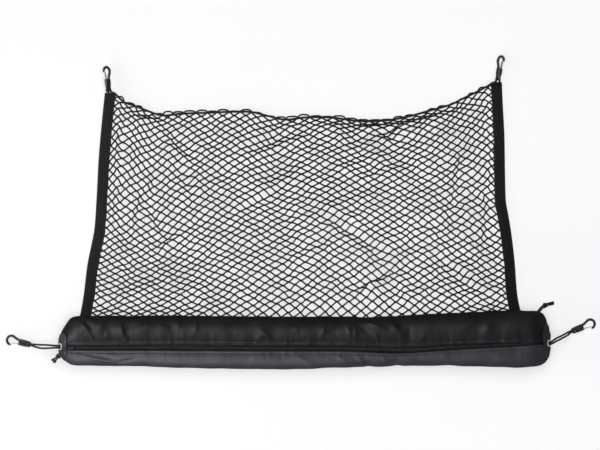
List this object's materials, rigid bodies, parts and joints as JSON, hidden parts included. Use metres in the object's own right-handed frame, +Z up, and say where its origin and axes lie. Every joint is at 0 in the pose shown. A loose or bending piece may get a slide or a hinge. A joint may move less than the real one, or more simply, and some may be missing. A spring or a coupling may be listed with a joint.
{
  "type": "cargo net",
  "caption": "Car-boot divider net of diamond mesh with side bands, an elastic top cord, snap hooks and a zipped leatherette storage case along its lower edge.",
  "frame": {"origin": "middle of the layout's box on the floor, leaving out the two free bungee loops, their hooks and the zip pulls", "axes": "+X along the case to the viewer's right, +Y from the case towards the upper hooks, +Z up off the floor"},
  "size_m": [1.0949, 0.5822, 0.0828],
  "materials": {
    "leatherette": "black leatherette with a fine pebbled grain, satin",
    "band_webbing": "black woven binding, matt",
    "net_yarn": "black knotless polyester yarn",
    "elastic_cord": "black braided elastic cord",
    "hook_plastic": "black moulded plastic, soft gloss",
    "gate_steel": "plain spring steel",
    "eyelet_metal": "nickel-plated",
    "zip_tape": "black zip tape with a nylon coil",
    "slider_metal": "dark painted metal, worn bright"
  },
  "bodies": {
    "net_and_case": {"band_left": "band_webbing", "band_right": "band_webbing", "bungee_left": "elastic_cord", "bungee_right": "elastic_cord", "case_end_left": "leatherette", "case_end_right": "leatherette", "case_lower": "leatherette", "case_upper": "leatherette", "eyelet_left": "eyelet_metal", "eyelet_right": "eyelet_metal", "hook_bottom_left": "hook_plastic", "hook_bottom_right": "hook_plastic", "hook_top_left": "hook_plastic", "hook_top_right": "hook_plastic", "net": "net_yarn", "pull_left_a": "elastic_cord", "pull_left_b": "elastic_cord", "pull_left_knot": "elastic_cord", "pull_right_a": "elastic_cord", "pull_right_b": "elastic_cord", "pull_right_knot": "elastic_cord", "top_cord": "elastic_cord", "zip_slider": "slider_metal", "zip_tape": "zip_tape"},
    "leaf_top_left": {"gate_top_left": "gate_steel"},
    "leaf_top_right": {"gate_top_right": "gate_steel"},
    "leaf_bottom_left": {"gate_bottom_left": "gate_steel"},
    "leaf_bottom_right": {"gate_bottom_right": "gate_steel"}
  },
  "joints": [
    {"name": "gate_top_left_hinge", "type": "hinge", "parent": "net_and_case", "child": "leaf_top_left", "pos_m": [-0.36826, 0.24706, 0.0115], "axis": [-0.762, -0.0787, -0.6428], "range_deg": [0, 28], "stiffness_Nm_per_rad": 0.02, "springref_deg": -20.05},
    {"name": "gate_top_right_hinge", "type": "hinge", "parent": "net_and_case", "child": "leaf_top_right", "pos_m": [0.36496, 0.267, 0.0115], "axis": [-0.757, 0.1172, 0.6428], "range_deg": [0, 28], "stiffness_Nm_per_rad": 0.02, "springref_deg": -20.05},
    {"name": "gate_bottom_left_hinge", "type": "hinge", "parent": "net_and_case", "child": "leaf_bottom_left", "pos_m": [-0.53123, -0.24407, 0.00466], "axis": [0.0765, -0.0175, -0.9969], "range_deg": [0, 28], "stiffness_Nm_per_rad": 0.02, "springref_deg": -20.05},
    {"name": "gate_bottom_right_hinge", "type": "hinge", "parent": "net_and_case", "child": "leaf_bottom_right", "pos_m": [0.51904, -0.21585, 0.00466], "axis": [0.073, 0.0288, 0.9969], "range_deg": [0, 28], "stiffness_Nm_per_rad": 0.02, "springref_deg": -20.05}
  ]
}
